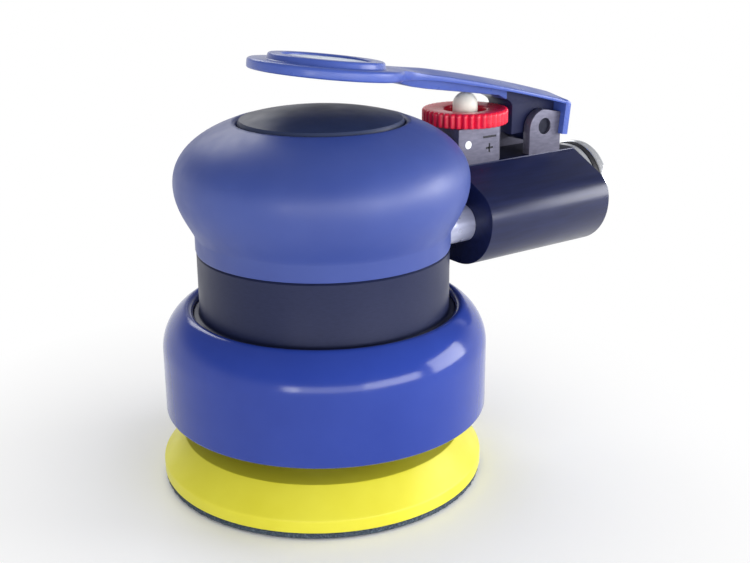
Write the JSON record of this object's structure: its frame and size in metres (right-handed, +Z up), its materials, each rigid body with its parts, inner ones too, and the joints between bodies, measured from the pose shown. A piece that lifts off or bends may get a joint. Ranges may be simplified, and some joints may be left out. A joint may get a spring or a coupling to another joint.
{
  "type": "orbital sander",
  "caption": "Palm-grip pneumatic orbital sander: flared grip over a round motor housing, skirt, hook-faced pad and rear valve handle with thumb lever.",
  "frame": {"origin": "point of the motor axis at the abrasive side of the pad", "axes": "+Z up along the motor axis, +X along the valve handle towards the hose connection"},
  "size_m": [0.1203, 0.075, 0.0976],
  "materials": {
    "hook_fibre": "woven hook facing",
    "pad_foam": "moulded polyurethane, satin",
    "hub_plate": "glass-filled plate",
    "steel": "ground",
    "dark_steel": "oiled",
    "vane_fibre": "phenolic fibre",
    "end_plate": "machined",
    "liner_steel": "honed",
    "black_anodised": "black anodised, satin",
    "skirt_blue": "gloss, moulded",
    "grip_blue": "soft satin",
    "cap_dark": "satin",
    "tube_metal": "satin anodised",
    "collar_grey": "matt",
    "dot_white": "paint",
    "ring_red": "moulded",
    "stem_ivory": "acetal",
    "seal_black": "nitrile",
    "seat_brass": "turned",
    "spring_steel": "drawn wire",
    "lever_blue": "moulded, semi-gloss",
    "disc_white": "bare insert",
    "bushing_chrome": "nickel plated",
    "screen_mesh": "perforated",
    "silencer_bronze": "sintered"
  },
  "bodies": {
    "housing": {"motor_housing": "black_anodised", "skirt": "skirt_blue", "grip": "grip_blue", "cap": "cap_dark", "lower_outer_race": "steel", "lower_balls": "steel", "lower_end_plate": "end_plate", "upper_outer_race": "steel", "upper_balls": "steel", "upper_end_plate": "end_plate", "cylinder_liner": "liner_steel", "alignment_pin": "steel", "lock_ring": "dark_steel", "inlet_tube": "tube_metal", "exhaust_tube": "tube_metal", "valve_body": "black_anodised", "collar": "collar_grey", "index_dot": "dot_white", "valve_seat": "seat_brass", "valve_spring": "spring_steel", "lever_pin": "dark_steel", "inlet_bushing": "bushing_chrome", "bushing_seal": "seal_black", "inlet_screen": "screen_mesh", "silencer": "silencer_bronze"},
    "rotor": {"balancer": "dark_steel", "rotor_key": "dark_steel", "rotor": "steel", "vanes": "vane_fibre", "lower_inner_race": "steel", "upper_inner_race": "steel", "shaft_circlip": "dark_steel", "spindle_outer_race": "steel", "spindle_balls": "steel", "spindle_circlip": "dark_steel"},
    "pad": {"spindle": "steel", "spindle_inner_race": "steel", "spindle_screw": "dark_steel", "pad_stud": "steel", "pad_hub": "hub_plate", "pad_foam": "pad_foam", "hook_facing": "hook_fibre"},
    "lever": {"lever": "lever_blue", "paddle_disc": "disc_white"},
    "stem": {"valve_stem": "stem_ivory", "valve_plug": "seal_black"},
    "regulator": {"regulator_ring": "ring_red"}
  },
  "joints": [
    {"name": "rotor_spin", "type": "hinge", "parent": "housing", "child": "rotor", "pos_m": [0, 0, 0.05], "axis": [0, 0, 1], "continuous": true},
    {"name": "pad_spin", "type": "hinge", "parent": "rotor", "child": "pad", "pos_m": [-0.00125, 0, 0.02], "axis": [0, 0, 1], "continuous": true},
    {"name": "lever_press", "type": "hinge", "parent": "housing", "child": "lever", "pos_m": [0.0612, 0, 0.075], "axis": [0, -1, 0], "range_deg": [0, 4.5], "stiffness_Nm_per_rad": 0.25, "springref_deg": -6.88},
    {"name": "stem_slide", "type": "slide", "parent": "housing", "child": "stem", "axis": [0, 0, -1], "range_m": [0, 0.0016], "deforming": ["valve_spring"]},
    {"name": "regulator_turn", "type": "hinge", "parent": "housing", "child": "regulator", "pos_m": [0.0414, 0, 0.0785], "axis": [0, 0, 1], "range_deg": [-90, 90]}
  ],
  "couplings": [
    {"joint": "stem_slide", "follows": "lever_press", "m_per_rad": 0.0198}
  ]
}
